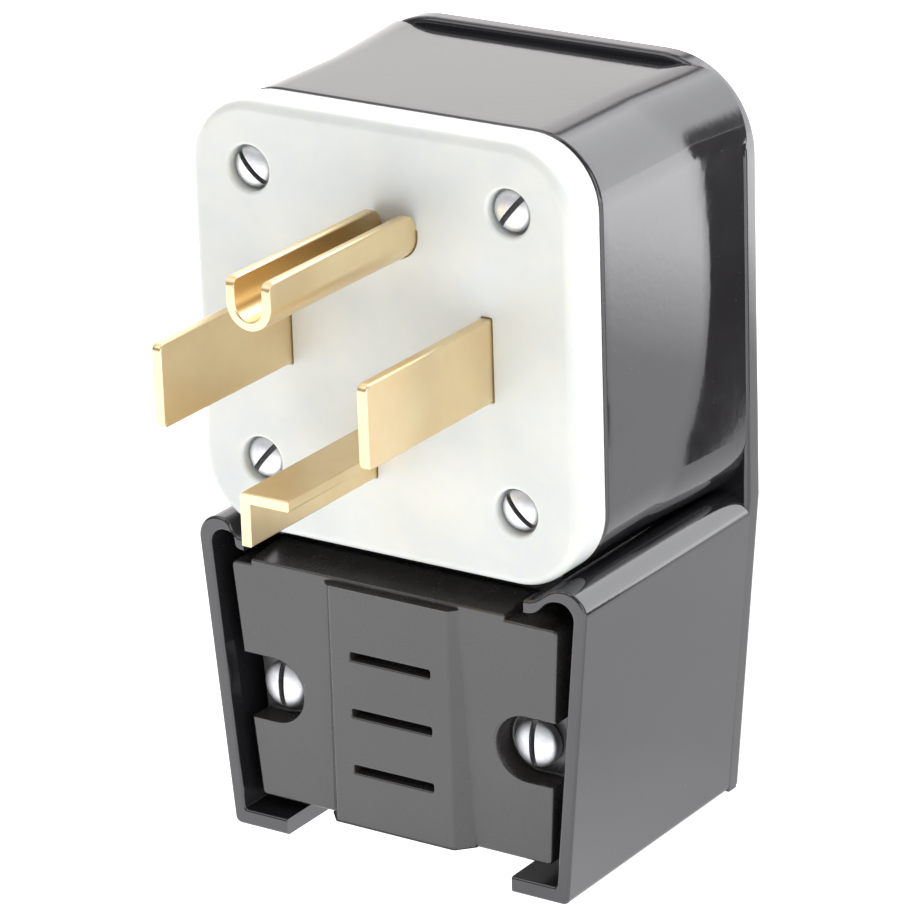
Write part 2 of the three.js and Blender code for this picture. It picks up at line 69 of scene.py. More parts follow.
BOX_FRONT = FACE_T + GAP
BOX_WALL = 2.4
BOX_EDGE = 0.5
FLANGE_FRONT = 40.0
BACK = housing_high.y
FLANGE_HALF = housing_high.x
FLANGE_TOP = housing_high.z
FLANGE_R = 13.0
FLANGE_EDGE = 0.8
SEAM_BACK = 1.3                          # step round the back plate's edge: its place and its depth
SEAM_INSET = 0.22
FLARE = 1.2                              # how far the side walls sweep out at the back plate
FLARE_MIDDLE = 33.6                      # height at which the sweep starts furthest back
FLARE_START = 33.1                       # where it starts at that height
FLARE_BOW = 0.017                        # how much sooner it starts above and below
FLARE_BEND = 0.12                        # share of the sweep over which it bends
FLARE_CORNER = 1.5                       # how far the sweep carries on round the corners
FLARE_STEPS = 24
FLARE_STRETCH = 4                        # longest straight stretch of the swept outline

LOW_FRONT = housing_low.y
LOW_BOTTOM = housing_low.z
LOW_FOOT_HALF = 26.6
LOW_WALL = 1.95
LOW_FLOOR = 2.3
SHOULDER_Z = 0.95
SHOULDER_R = 3.3
SHOULDER_SHRINK = 0.6                    # share of the wall taken off the shoulder's radius inside
FOOT_EDGE = 1.0
FOOT_EDGE_INSIDE = 0.4
LIP_EASE = 3.0                           # handles of the S rise from lip to shoulder
LIP_X = 20.9                             # where the right lip ends, and the left one
LIP_LEFT = 23.0
LIP_TOP = -1.46
LIP_T = 1.85
MOUTH_HALF = 17.9
MOUTH_BACK = 37.0
PASSAGE_HALF = 14.0
PASSAGE_FRONT = 17.0
SHELL_MOUTH = 0.4                        # rounding of the housing's openings and of their floors
SHELL_FLOOR = 1.0
LOW_EDGE = 0.45
LOW_INNER_EDGE = 0.8
BACK_EDGE = 0.8

SCREW_X = 19.8
SCREW_Z = (10.1, 50.1)
FACE_SCREW_R = 1.75
FACE_HEAD_R = 2.75
FACE_SINK = 2.3
BOSS_R = 4.4
BOSS_FRONT = 13.0
BOSS_EDGE = 0.3
INSERT_WALL = 0.75

BLADE_T = 1.5
HOT_X = 15.5
HOT_OFFSET = 0.6
HOT_LOW = 24.5
HOT_HIGH = 35.7
BLADE_TIP = extent("hot_blade_right")[0].y
NEUTRAL_X = -3.0
NEUTRAL_LOW = 11.0
NEUTRAL_HIGH = 18.3
NEUTRAL_WIDTH = 7.4
GROUND_X = 2.6
GROUND_Z = 44.9
GROUND_R = 3.3
GROUND_T = 1.3
GROUND_HIGH = 48.2
GROUND_LEG_EDGE = 0.42
GROUND_TIP = extent("ground_blade")[0].y
COLLAR_GROW = 1.3
COLLAR_T = 1.7
TAB_FRONT = 22.0
TAB_T = 1.6
TAB_SIZE = 10.5
TERMINAL_SCREW_R = 2.3

CLAMP_TOP = -5.1
CLAMP_BOTTOM = clamp_low.z
CLAMP_HALF_TOP = clamp_high.x
CLAMP_HALF_BOTTOM = 23.0
CLAMP_FRONT = 1.2
CLAMP_LEAN = 1.2                         # how much further forward the top of its front is
CLAMP_WING_BACK = 12.0
CLAMP_BACK = clamp_high.y
CLAMP_CORE_HALF = 14.5
RIDGE = (-22.4, 17.5)                    # ridge on the clamp that closes the gap under the face plate
RIDGE_FRONT_Z = -4.4
RIDGE_TOP = clamp_high.z
RIDGE_LEVEL = 6.0
PANEL_FRONT = clamp_low.y
PANEL_HALF = 9.3
PANEL_BEVEL = 2.0
SLOT_Z = (-14.7, -22.8, -30.9)
SLOT_HALF = 6.3
SLOT_H = 1.1
SLOT_DEPTH = 4.0
CORD_R = 13.0
CHANNEL_REACH = 30.0                     # the cord's way runs this far above and below the clamp screws
CLAMP_CHANNEL = 6.5                      # depth of that way in the clamp, and in the saddle
SADDLE_CHANNEL = 5.0
CLAMP_SCREW_X = 19.85
CLAMP_SCREW_Z = -23.1
CLAMP_SCREW_R = 2.05
CLAMP_SINK_R = 4.6
CLAMP_SINK = 3.4
CLAMP_BOSS_R = 5.3
CLAMP_BOSS_FRONT = 22.0
SADDLE_FRONT = 31.0
SADDLE_HALF = 14.5
SADDLE_RIB = 2.4
SADDLE_RIB_Z = (-32.0, -23.1, -14.2)

FIT = 0.1                                # visible gap round a blade in the face
FACE_SINK_GAP = 0.4                      # room round a screw head in its recess
GROUND_STEP = 2.4                        # how far the U blade's legs step down at the face
BLADE_EDGE = 0.3                         # rounding of stamped edges
LEDGE_EDGE = 0.18                        # the same on the L-shaped blade
TIP_ROUND = 1.0                          # rounding of the flat blades' corners
LEG_ROUND = 1.5                          # rounding of the U blade's leg tips
PLATE_EDGE = 0.25                        # rounding of terminal tabs and pressure plates
HOLE_EDGE = 0.2
PITCH = 0.794                            # thread pitch of all screws

INSERT_GAP = 0.18                        # room round a thread in its insert
FACE_SLOTS = {"top_left": 0.8, "bottom_right": 0.8, "top_right": -0.87, "bottom_left": -0.87}
TERMINAL_SLOTS = {"hot_left": 0.3, "hot_right": 1.1, "neutral": -0.5, "ground": 0.7}

PAST = 1.0                               # how far a cutting shape runs past what it cuts


# ---------------------------------------------------------------- outlines
def arc(x, z, radius, start, end, steps=8):
    """Points of an arc about (x, z), from one angle to another in degrees."""
    angles = [math.radians(start + (end - start) * i / steps) for i in range(steps + 1)]
    return [(x + radius * math.cos(a), z + radius * math.sin(a)) for a in angles]


def circle(x, z, radius, sides=40):
    return arc(x, z, radius, 0, 360, sides)[:-1]


def bezier(a, b, c, d, steps=8):
    """Points after a, up to d, of the curve from a to d with handles b and c."""
    found = []
    for i in range(1, steps + 1):
        t = i / steps
        weights = ((1 - t) ** 3, 3 * t * (1 - t) ** 2, 3 * t * t * (1 - t), t ** 3)
        found.append(tuple(sum(w * p[k] for w, p in zip(weights, (a, b, c, d))) for k in (0, 1)))
    return found


def soft_polygon(corners, steps=5):
    """Closed outline through (across, up, radius) corners, each rounded by its own radius."""
    points = []
    for i, (across, up, radius) in enumerate(corners):
        here = Vector((across, up))
        if radius == 0:
            points.append(here[:])
            continue
        before = (Vector(corners[i - 1][:2]) - here).normalized()
        after = (Vector(corners[(i + 1) % len(corners)][:2]) - here).normalized()
        half = before.angle(after) / 2
        centre = here + (before + after).normalized() * (radius / math.sin(half))
        first = here + before * (radius / math.tan(half)) - centre
        turn = first.angle_signed(here + after * (radius / math.tan(half)) - centre)
        for k in range(steps + 1):
            spoke = first.copy()
            spoke.rotate(Matrix.Rotation(-turn * k / steps, 2))
            points.append((centre + spoke)[:])
    return points


def soft_rect(x0, x1, z0, z1, radius, steps=8):
    return soft_polygon([(x0, z0, radius), (x1, z0, radius), (x1, z1, radius), (x0, z1, radius)], steps)


def divided(outline, longest):
    """The outline with its long straight stretches cut into shorter ones."""
    points = []
    for a, b in zip(outline, outline[1:] + outline[:1]):
        parts = max(1, math.ceil(math.dist(a, b) / longest))
        points += [tuple(p + (q - p) * k / parts for p, q in zip(a, b)) for k in range(parts)]
    return points


def grown(outline, amount):
    """The outline moved outwards by an amount, with mitred corners. Outlines run anticlockwise."""
    if amount == 0:
        return outline
    moved = []
    for i, here in enumerate(outline):
        before = Vector(here) - Vector(outline[i - 1])
        after = Vector(outline[(i + 1) % len(outline)]) - Vector(here)
        n1 = Vector((before.y, -before.x)).normalized()
        n2 = Vector((after.y, -after.x)).normalized()
        moved.append((Vector(here) + (n1 + n2) * (amount / max(0.3, 1 + n1.dot(n2))))[:])
    return moved


def rim(radius, steps=4):
    """(depth, inset) pairs of a quarter-round edge, from the face round to the side."""
    if radius == 0:
        return [(0, 0)]
    turns = [math.radians(90 * (1 - i / steps)) for i in range(steps + 1)]
    return [(radius * (1 - math.sin(t)), radius * (1 - math.cos(t))) for t in turns]


# ---------------------------------------------------------------- solids
PLACES = {"x": lambda s, a, b: (s, a, b), "y": lambda s, a, b: (a, s, b), "z": lambda s, a, b: (a, b, s)}


def loft(sections, along="y"):
    """Closed solid through (station, outline) sections with equal point counts."""
    mesh = bmesh.new()
    rings = [[mesh.verts.new(PLACES[along](s, a, b)) for a, b in outline] for s, outline in sections]
    for ring, following in zip(rings, rings[1:]):
        for i in range(len(ring)):
            mesh.faces.new((ring[i - 1], ring[i], following[i], following[i - 1]))
    mesh.faces.new(rings[0])
    mesh.faces.new(rings[-1])
    bmesh.ops.recalc_face_normals(mesh, faces=mesh.faces)
    data = bpy.data.meshes.new("shape")
    mesh.to_mesh(data)
    mesh.free()
    body = bpy.data.objects.new("shape", data)
    bpy.context.scene.collection.objects.link(body)
    return body


def slab(outline, front, back, front_edge=0.0, back_edge=0.0, along="y", steps=4):
    """Solid of one outline with quarter-round edges at its two faces."""
    sections = [(front + depth, grown(outline, -inset)) for depth, inset in rim(front_edge, steps)]
    sections += [(back - depth, grown(outline, -inset)) for depth, inset in reversed(rim(back_edge, steps))]
    return loft(sections, along)


def pocket(outline, front, back, mouth=0.0, floor=0.0, along="y"):
    """Cutting shape for a hole from a face at `front`, whose mouth and floor are rounded."""
    sections = [(front - PAST, grown(outline, mouth))]
    sections += [(front + depth, grown(outline, inset)) for depth, inset in rim(mouth)]
    sections += [(back - depth, grown(outline, -inset)) for depth, inset in reversed(rim(floor))]
    return loft(sections, along)


def block(x0, x1, y0, y1, z0, z1):
    return slab([(x0, z0), (x1, z0), (x1, z1), (x0, z1)], y0, y1)


def remove(body):
    data = body.data
    bpy.data.objects.remove(body)
    bpy.data.meshes.remove(data)


def settle(body):
    """Turns an object's modifiers into plain mesh."""
    bpy.context.view_layer.update()
    depsgraph = bpy.context.evaluated_depsgraph_get()
    made = bpy.data.meshes.new_from_object(body.evaluated_get(depsgraph))
    old = body.data
    body.modifiers.clear()
    body.data = made
    bpy.data.meshes.remove(old)
    return body


def combine(body, others, operation):
    for other in others:
        step = body.modifiers.new("step", "BOOLEAN")
        step.operation = operation
        step.solver = "MANIFOLD"
        step.object = other
        settle(body)
        remove(other)
    return body


def add(body, *others):
    return combine(body, others, "UNION")


def cut(body, *others):
    return combine(body, others, "DIFFERENCE")


def shade(body, angle):
    """Smooth faces with weighted normals: flat faces stay flat beside their rounded edges."""
    body.data.shade_smooth()
    body.data.set_sharp_from_angle(angle=math.radians(angle))
    weights = body.modifiers.new("normals", "WEIGHTED_NORMAL")
    weights.keep_sharp = True
    weights.weight = 100
    return settle(body)


def finished(body, name, material, *, rides, stands_for, angle=34):
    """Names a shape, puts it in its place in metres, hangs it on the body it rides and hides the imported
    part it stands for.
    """
    tidy = bmesh.new()
    tidy.from_mesh(body.data)
    bmesh.ops.remove_doubles(tidy, verts=tidy.verts, dist=0.002)
    bmesh.ops.dissolve_degenerate(tidy, edges=tidy.edges, dist=0.001)
    tidy.to_mesh(body.data)
    tidy.free()
    body.data.transform(Matrix.Translation(DATUM) @ Matrix.Scale(MM, 4))
    body.name = name
    body.data.name = name
    body.data.materials.clear()
    body.data.materials.append(material)
    shade(body, angle)
    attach(body, rides)
    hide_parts(stands_for)
    return body


# ---------------------------------------------------------------- shader nodes
def new_material(name):
    material = bpy.data.materials.new(name)
    material.use_nodes = True
    tree = material.node_tree
    return material, tree, tree.nodes["Principled BSDF"]


def add_node(tree, kind, settings=None, **inputs):
    """A node with its settings, whose inputs are values or other nodes' sockets."""
    node = tree.nodes.new(kind)
    for key, value in (settings or {}).items():
        setattr(node, key, value)
    for key, value in inputs.items():
        name = int(key[1:]) if key[0] == "_" else key.replace("_", " ")
        connect(tree, node.inputs[name], value)
    return node


def connect(tree, socket, value):
    if isinstance(value, bpy.types.NodeSocket):
        tree.links.new(value, socket)
    else:
        socket.default_value = value


def place_of(tree, stretch=(1, 1, 1)):
    """Object coordinates in millimetres, stretched along each axis."""
    source = add_node(tree, "ShaderNodeTexCoord").outputs["Object"]
    scale = tuple(1 / MM / s for s in stretch)
    return add_node(tree, "ShaderNodeMapping", Vector=source, Scale=scale).outputs["Vector"]


def noise(tree, vector, scale, detail=3.0, rough=0.5):
    node = add_node(tree, "ShaderNodeTexNoise", Vector=vector, Scale=scale, Detail=detail, Roughness=rough)
    return node.outputs["Fac"]


def ranged(tree, value, low, high, to_low, to_high):
    """Maps a value from one range to another, clamped at the ends."""
    node = add_node(tree, "ShaderNodeMapRange", _0=value, _1=low, _2=high, _3=to_low, _4=to_high)
    return node.outputs["Result"]


def blended(tree, factor, first, second):
    node = add_node(tree, "ShaderNodeMix", {"data_type": "RGBA"}, _0=factor, _6=first, _7=second)
    return node.outputs[2]


def calc(tree, operation, first, second=0.0):
    return add_node(tree, "ShaderNodeMath", {"operation": operation}, _0=first, _1=second).outputs[0]


def coated(tree, shader, **inputs):
    """Sets the shader's inputs, each to a constant or to another node's socket."""
    for label, value in inputs.items():
        connect(tree, shader.inputs[label.replace("_", " ")], value)


def bumped(tree, shader, layers):
    """Stacks bump layers of (height, strength, distance in millimetres)."""
    normal = None
    for height, strength, distance in layers:
        node = add_node(tree, "ShaderNodeBump", Height=height, Strength=strength, Distance=distance * MM)
        if normal is not None:
            tree.links.new(normal, node.inputs["Normal"])
        normal = node.outputs["Normal"]
    tree.links.new(normal, shader.inputs["Normal"])


# ---------------------------------------------------------------- materials
def moulded_black(name, gloss, grain, dark, pale, shine):
    """Moulded phenolic black: a clear gloss with flow marks, a faint haze and fine dust."""
    material, tree, shader = new_material(name)
    place = place_of(tree)
    flow = noise(tree, place_of(tree, (1, 3, 1)), 0.06, 4)
    dust = noise(tree, place, 2.6, 2, 0.7)
    speck = ranged(tree, dust, 0.735, 0.79, 0, 1)
    haze = noise(tree, place, 0.35, 5, 0.6)
    tint = blended(tree, ranged(tree, flow, 0.3, 0.7, 0, 1), (*dark, 1), (*pale, 1))
    bare = ranged(tree, haze, 0.3, 0.75, gloss * 0.8, gloss * 1.5)
    rough = calc(tree, "ADD", bare, ranged(tree, speck, 0, 1, 0, 0.3))
    coated(tree, shader, Base_Color=blended(tree, speck, tint, (0.16, 0.15, 0.14, 1)), Roughness=rough,
           IOR=1.5, Specular_IOR_Level=shine, Specular_Tint=(0.95, 0.96, 1.0, 1))
    peel = noise(tree, place, 0.9, 2)
    fine = noise(tree, place, 7.0, 2)
    bumped(tree, shader, [(peel, 0.12, 0.05), (fine, grain, 0.03)])
    return material


def milky_nylon():
    """White nylon of the face: slightly see-through, with soft mottling and a satin skin."""
    material, tree, shader = new_material("milky_nylon")
    place = place_of(tree)
    cloud = noise(tree, place, 0.11, 5, 0.55)
    tint = blended(tree, ranged(tree, cloud, 0.35, 0.7, 0, 1), (0.60, 0.63, 0.63, 1), (0.67, 0.68, 0.65, 1))
    rough = ranged(tree, noise(tree, place, 0.5, 4), 0.3, 0.7, 0.3, 0.44)
    coated(tree, shader, Base_Color=tint, Roughness=rough, IOR=1.53, Subsurface_Weight=0.45,
           Subsurface_Radius=(1.0, 0.8, 0.45), Subsurface_Scale=2.2 * MM)
    bumped(tree, shader, [(noise(tree, place, 0.35, 2), 0.2, 0.06), (noise(tree, place, 5.0, 3), 0.1, 0.02)])
    return material


def rolled_brass(name, low, high):
    """Stamped brass strip: satin skin with fine rolling lines along it, faint tarnish and waves."""
    material, tree, shader = new_material(name)
    place = place_of(tree)
    lines = noise(tree, place_of(tree, (1, 30, 1)), 7.0, 4, 0.6)
    tarnish = noise(tree, place, 0.12, 3, 0.5)
    tint = blended(tree, ranged(tree, tarnish, 0.3, 0.75, 0, 1), (*high, 1), (*low, 1))
    dull = ranged(tree, tarnish, 0.3, 0.7, 0.31, 0.37)
    rough = calc(tree, "ADD", dull, ranged(tree, lines, 0.3, 0.7, -0.02, 0.03))
    coated(tree, shader, Base_Color=tint, Metallic=1.0, Roughness=rough)
    bumped(tree, shader, [(lines, 0.2, 0.006), (noise(tree, place, 0.8, 2), 0.1, 0.02),
                          (noise(tree, place, 0.25, 2), 0.1, 0.04)])
    return material


def zinc_plate():
    """Zinc on screws: a lively satin grey with small stains and a fine grain."""
    material, tree, shader = new_material("zinc_plate")
    place = place_of(tree)
    bloom = noise(tree, place, 0.9, 4, 0.6)
    tint = blended(tree, ranged(tree, bloom, 0.35, 0.7, 0, 1), (0.78, 0.79, 0.82, 1), (0.66, 0.67, 0.70, 1))
    coated(tree, shader, Base_Color=tint, Metallic=1.0, Roughness=ranged(tree, bloom, 0.3, 0.75, 0.42, 0.56))
    bumped(tree, shader, [(noise(tree, place, 4.0, 3), 0.15, 0.02), (noise(tree, place, 1.2, 2), 0.1, 0.04)])
    return material


def painted_slot_shade():
    """Painted shade: a dull dark colour on the bottom and sides of screw slots, standing in for the shade
    deep in them.
    """
    material, tree, shader = new_material("painted_slot_shade")
    shade_blotch = noise(tree, place_of(tree), 3.0, 4, 0.6)
    tint = blended(tree, ranged(tree, shade_blotch, 0.35, 0.7, 0, 1), (0.05, 0.05, 0.055, 1), (0.16, 0.15, 0.15, 1))
    coated(tree, shader, Base_Color=tint, Roughness=ranged(tree, shade_blotch, 0.3, 0.7, 0.5, 0.8))
    bumped(tree, shader, [(shade_blotch, 0.3, 0.03)])
    return material


def pressed_fibre():
    """Brown insulating board with short fibres in it."""
    material, tree, shader = new_material("pressed_fibre")
    threads = noise(tree, place_of(tree, (6, 1, 1)), 2.5, 4, 0.7)
    pale = ranged(tree, threads, 0.35, 0.7, 0, 1)
    tint = blended(tree, pale, (0.13, 0.055, 0.025, 1), (0.24, 0.12, 0.06, 1))
    coated(tree, shader, Base_Color=tint, Roughness=ranged(tree, threads, 0.3, 0.7, 0.6, 0.8))
    bumped(tree, shader, [(threads, 0.4, 0.04)])
    return material


BLACK = moulded_black("moulded_black", 0.08, 0.05, (0.012, 0.011, 0.013), (0.02, 0.019, 0.021), 0.9)
CLAMP_BLACK = moulded_black("clamp_black", 0.22, 0.16, (0.029, 0.027, 0.026), (0.038, 0.035, 0.033), 0.8)
NYLON = milky_nylon()
BRASS = rolled_brass("rolled_brass", (0.78, 0.60, 0.35), (0.84, 0.69, 0.43))
INSERT_BRASS = rolled_brass("turned_brass", (0.55, 0.36, 0.14), (0.78, 0.58, 0.28))
ZINC = zinc_plate()
# painted shade for the inside of screw slots
SLOT_SHADE = painted_slot_shade()
FIBRE = pressed_fibre()


# ---------------------------------------------------------------- housing
def lower_half(z):
    """Half width of the lower box at a height: its sides draw in towards the foot."""
    share = min(1, max(0, z / LOW_BOTTOM))
    return FLANGE_HALF + (LOW_FOOT_HALF - FLANGE_HALF) * share


def lower_outline(wall, floor, ceiling):
    """Section of the lower box: level between its lips, an S rise to round shoulders, drawn-in sides."""
    top = SHOULDER_Z - ceiling
    level = LIP_TOP - ceiling
    bottom = LOW_BOTTOM + floor
    radius = SHOULDER_R - wall * SHOULDER_SHRINK
    bend = top - radius
    shoulder = lower_half(bend) - wall - radius
    foot = lower_half(bottom) - wall
    edge = FOOT_EDGE_INSIDE if wall else FOOT_EDGE

    def half(lip):
        side = soft_polygon([(-foot, bottom, 0), (foot, bottom, edge), (foot + 1, bend, 0)])[1:-1]
        side += arc(shoulder, bend, radius, 0, 90, 10)
        handles = (shoulder - LIP_EASE, top), (lip + LIP_EASE, level)
        return side + bezier((shoulder, top), *handles, (lip, level), 10)

    return half(LIP_X) + [(-x, z) for x, z in reversed(half(LIP_LEFT))]


def flange_outline():
    x = FLANGE_HALF - FLANGE_R
    z = FLANGE_TOP - FLANGE_R
    side = [(FLANGE_HALF, 0.0)] + arc(x, z, FLANGE_R, 0, 90, 16)
    foot = [(-LOW_FOOT_HALF, LOW_BOTTOM), (LOW_FOOT_HALF, LOW_BOTTOM)]
    return foot + side + [(-x, z) for x, z in reversed(side)]


def flare(y, z):
    """How far the side wall has swept out at depth y: it starts sooner near the top and the bottom."""
    start = FLARE_START - FLARE_BOW * (z - FLARE_MIDDLE) ** 2
    share = (y - start) / (FLANGE_FRONT - start)
    if share <= 0:
        return 0
    ramp = share ** 2 / (2 * FLARE_BEND) if share < FLARE_BEND else share - FLARE_BEND / 2
    return FLARE * ramp / (1 - FLARE_BEND / 2)


def upper_body():
    """Upper box, whose walls sweep gently out where they meet the back plate."""
    outline = divided(soft_rect(-FACE_HALF, FACE_HALF, 0, FACE_H, FACE_R, 14), FLARE_STRETCH)
    pushed = grown(outline, 1)
    sections = [(BOX_FRONT + depth, grown(outline, -inset)) for depth, inset in rim(BOX_EDGE)]
    for step in range(1, FLARE_STEPS + 1):
        y = BOX_FRONT + BOX_EDGE + (FLANGE_FRONT + PAST - BOX_FRONT - BOX_EDGE) * step / FLARE_STEPS
        ring = []
        for (x, z), (x1, z1) in zip(outline, pushed):
            amount = flare(y, z) * min(1, FLARE_CORNER * abs(x1 - x))
            ring.append((x + (x1 - x) * amount, z + (z1 - z) * amount))
        sections.append((y, ring))
    return loft(sections)


def cord_channel(centre_y):
    """Round way for the cord, running up the plug."""
    outline = circle(0, centre_y, CORD_R, 56)
    return loft([(CLAMP_SCREW_Z - CHANNEL_REACH, outline), (CLAMP_SCREW_Z + CHANNEL_REACH, outline)], "z")


def screw_places():
    return [(side * SCREW_X, z) for z in SCREW_Z for side in (-1, 1)]


def clamp_places():
    return [(side * CLAMP_SCREW_X, CLAMP_SCREW_Z) for side in (-1, 1)]


def add_bosses(body, places, radius, front, screw_radius, end):
    """Round bosses that reach the back plate, each with a blind hole for its insert."""
    back = FLANGE_FRONT + PAST
    add(body, *[slab(circle(x, z, radius), front, back, front_edge=BOSS_EDGE) for x, z in places])
    hole = screw_radius + 2 * GAP + INSERT_WALL
    cut(body, *[pocket(circle(x, z, hole), front, end) for x, z in places])


def make_housing():
    web_top = LIP_TOP - LIP_T
    inner = FACE_HALF - BOX_WALL
    body = upper_body()
    seam = BACK - SEAM_BACK
    add(
        body,
        slab(flange_outline(), FLANGE_FRONT, seam, front_edge=FLANGE_EDGE),
        slab(grown(flange_outline(), -SEAM_INSET), seam - PAST, BACK, back_edge=BACK_EDGE),
        slab(lower_outline(0, 0, 0), LOW_FRONT, FLANGE_FRONT + PAST, front_edge=LOW_EDGE),
        block(-LIP_LEFT - PAST, LIP_X + PAST, BOX_FRONT, FLANGE_FRONT + PAST, web_top, SHOULDER_Z),
    )
    cut(
        body,
        pocket(soft_rect(-inner, inner, BOX_WALL, FACE_H - BOX_WALL, FACE_R - BOX_WALL),
               BOX_FRONT, FLANGE_FRONT, mouth=SHELL_MOUTH, floor=SHELL_FLOOR),
        pocket(lower_outline(LOW_WALL, LOW_FLOOR, LIP_T), LOW_FRONT, FLANGE_FRONT,
               mouth=SHELL_MOUTH, floor=LOW_INNER_EDGE),
        block(-LIP_LEFT, LIP_X, LOW_FRONT - PAST, BOX_FRONT, web_top - PAST, SHOULDER_Z),
        block(-MOUTH_HALF, MOUTH_HALF, LOW_FRONT - PAST, MOUTH_BACK, LOW_BOTTOM - PAST,
              LOW_BOTTOM + LOW_FLOOR + PAST),
        block(-PASSAGE_HALF, PASSAGE_HALF, PASSAGE_FRONT, MOUTH_BACK, web_top - PAST, BOX_WALL + PAST),
    )
    for z in SADDLE_RIB_Z:
        across = soft_rect(SADDLE_FRONT, FLANGE_FRONT + PAST, z - SADDLE_RIB / 2, z + SADDLE_RIB / 2, 0.4, 3)
        rib = slab(across, -SADDLE_HALF, SADDLE_HALF, along="x")
        add(body, cut(rib, cord_channel(SADDLE_FRONT - CORD_R + SADDLE_CHANNEL)))
    add_bosses(body, screw_places(), BOSS_R, BOSS_FRONT, FACE_SCREW_R, FLANGE_FRONT - 1)
    add_bosses(body, clamp_places(), CLAMP_BOSS_R, CLAMP_BOSS_FRONT, CLAMP_SCREW_R, FLANGE_FRONT)
    return finished(body, "housing_shell", BLACK, rides="shell", stands_for="housing")


# ---------------------------------------------------------------- face plate and blades
def hot_outline(side, extra):
    x = side * HOT_X + HOT_OFFSET
    half = BLADE_T / 2 + extra
    return soft_rect(x - half, x + half, HOT_LOW - extra, HOT_HIGH + extra, 0.2, 3)


def neutral_outline(extra):
    """L section: a foot down the left side and a ledge along the top, bent from one strip."""
    x0 = NEUTRAL_X - extra
    x1 = NEUTRAL_X + BLADE_T + extra
    x2 = NEUTRAL_X + NEUTRAL_WIDTH + extra
    ledge = NEUTRAL_HIGH - BLADE_T - extra
    return soft_polygon([
        (x0, NEUTRAL_LOW - extra, 0.2), (x1, NEUTRAL_LOW - extra, 0.2), (x1, ledge, 0.3),
        (x2, ledge, 0.2), (x2, NEUTRAL_HIGH + extra, 0.2), (x0, NEUTRAL_HIGH + extra, 0.55),
    ], 4)


def ground_outline(extra, high=GROUND_HIGH):
    """U section, open at the top, with rounded leg ends."""
    outer = GROUND_R + extra
    inner = GROUND_R - GROUND_T - extra
    end = high + extra
    edge = GROUND_LEG_EDGE
    x = GROUND_X
    leg = soft_polygon([(x + inner, GROUND_Z, 0), (x + outer, GROUND_Z, 0), (x + outer, end, edge),
                        (x + inner, end, edge)], 5)[2:]
    other = [(2 * x - a, b) for a, b in reversed(leg)]
    around = arc(x, GROUND_Z, outer, 180, 360, 28)
    within = arc(x, GROUND_Z, inner, 0, -180, 20)
    return around + leg + within + other


def make_face_plate():
    rim_half = FACE_HALF - BOX_WALL - GAP
    rim_low = BOX_WALL + GAP
    rim_r = FACE_R - BOX_WALL - GAP
    hollow = rim_half - RIM_WALL
    hollow_low = rim_low + RIM_WALL
    body = slab(soft_rect(-FACE_HALF, FACE_HALF, 0, FACE_H, FACE_R, 16), 0, FACE_T, FACE_EDGE, 0.4, steps=6)
    add(body, slab(soft_rect(-rim_half, rim_half, rim_low, FACE_H - rim_low, rim_r, 12),
                   FACE_T - PAST, FACE_T + RIM_DEPTH, back_edge=0.4))
    cut(body, slab(soft_rect(-hollow, hollow, hollow_low, FACE_H - hollow_low, rim_r - RIM_WALL, 10),
                   FACE_T, FACE_T + RIM_DEPTH + PAST))
    slots = [hot_outline(-1, FIT), hot_outline(1, FIT), neutral_outline(FIT),
             ground_outline(FIT, GROUND_HIGH - GROUND_STEP)]
    cut(body, *[pocket(outline, 0, FACE_T + PAST, mouth=0.25) for outline in slots])
    for x, z in screw_places():
        cut(body, pocket(circle(x, z, FACE_HEAD_R + FACE_SINK_GAP), 0, FACE_SINK, mouth=0.45, floor=0.3),
            pocket(circle(x, z, FACE_SCREW_R + GAP, 24), FACE_SINK - PAST, FACE_T + PAST))
    return finished(body, "nylon_face", NYLON, rides="face", stands_for="face_plate")


def make_retainer():
    """Insulating board that traps the collars of the blades behind the face."""
    low, high = extent("blade_retainer")
    corner = FACE_R - BOX_WALL - RIM_WALL - 2 * GAP
    body = slab(soft_rect(low.x, high.x, low.z, high.z, corner), low.y, high.y, 0.2, 0.2)
    outlines = [hot_outline(-1, FIT), hot_outline(1, FIT), neutral_outline(FIT), ground_outline(FIT)]
    outlines += [circle(x, z, FACE_SCREW_R + GAP, 24) for x, z in screw_places()]
    cut(body, *[pocket(outline, low.y, high.y + PAST) for outline in outlines])
    return finished(body, "fibre_retainer", FIBRE, rides="face", stands_for="blade_retainer")


def terminal(x, z):
    """Terminal tab at a blade's inner end."""
    half = TAB_SIZE / 2
    outline = soft_rect(x - half, x + half, z - half, z + half, 0.8, 4)
    return slab(outline, TAB_FRONT, TAB_FRONT + TAB_T, PLATE_EDGE, PLATE_EDGE)


def tab_hole(x, z):
    outline = circle(x, z, TERMINAL_SCREW_R + GAP, 28)
    return pocket(outline, TAB_FRONT, TAB_FRONT + TAB_T + PAST, mouth=HOLE_EDGE)


def collar(outline):
    """Shoulder on a blade, trapped between face plate and retainer."""
    return slab(outline, FACE_T + GAP, FACE_T + GAP + COLLAR_T, 0.15, 0.15)


def make_blade(body, outline, spot, name, node):
    add(body, collar(outline), terminal(*spot))
    cut(body, tab_hole(*spot))
    return finished(body, name, BRASS, rides="face", stands_for=node, angle=38)


